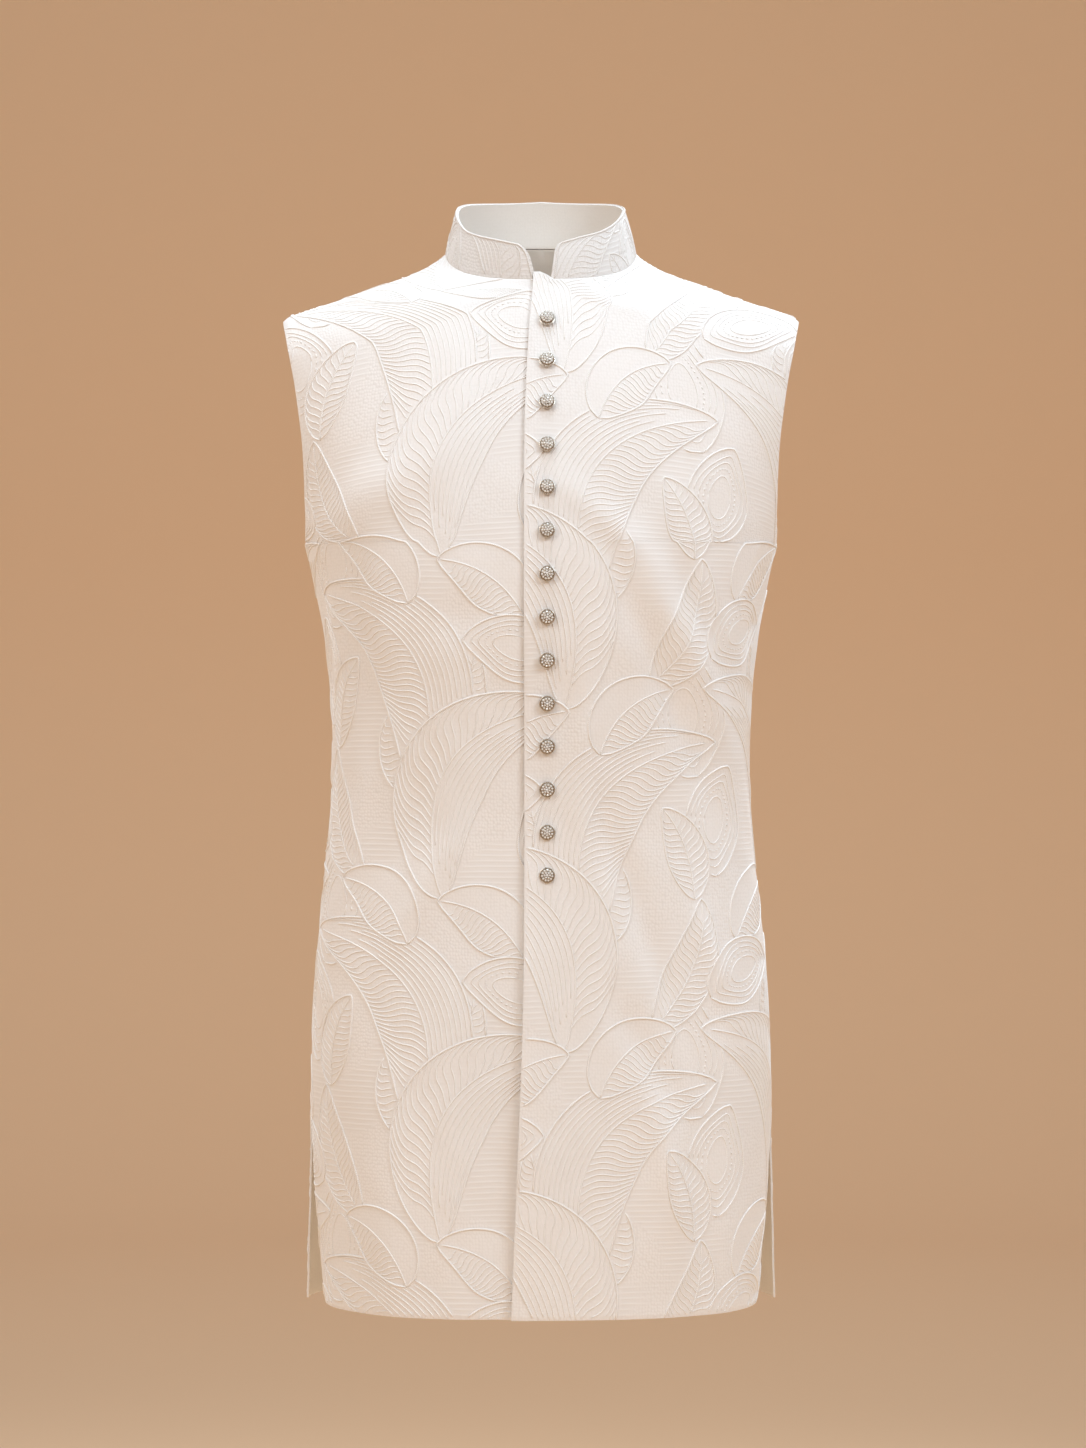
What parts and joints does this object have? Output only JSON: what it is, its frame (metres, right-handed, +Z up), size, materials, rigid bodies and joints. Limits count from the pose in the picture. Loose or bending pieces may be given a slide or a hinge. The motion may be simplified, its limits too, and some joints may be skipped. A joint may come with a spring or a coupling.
{
  "type": "sleeveless sherwani",
  "caption": "Long sleeveless sherwani of ivory corded cloth with a stand collar, lapped front, domed metal buttons, open armholes and side slits, hollow as if worn.",
  "frame": {"origin": "midway between the two points where the shoulder seams meet the neck, where the garment hangs on the wearer's shoulders", "axes": "+Z up along the wearer's body, +X towards the wearer's left, so the front faces -Y"},
  "size_m": [0.452, 0.2612, 0.9731],
  "materials": {
    "ivory_cloth": "matte, corded and stitched tone on tone",
    "aged_silver": "aged silver with dark recesses and small clear stones"
  },
  "bodies": {
    "root": {"front_left": "ivory_cloth", "front_right": "ivory_cloth", "back": "ivory_cloth", "collar": "ivory_cloth", "button_01": "aged_silver", "button_02": "aged_silver", "button_03": "aged_silver", "button_04": "aged_silver", "button_05": "aged_silver", "button_06": "aged_silver", "button_07": "aged_silver", "button_08": "aged_silver", "button_09": "aged_silver", "button_10": "aged_silver", "button_11": "aged_silver", "button_12": "aged_silver", "button_13": "aged_silver", "button_14": "aged_silver"}
  },
  "joints": []
}
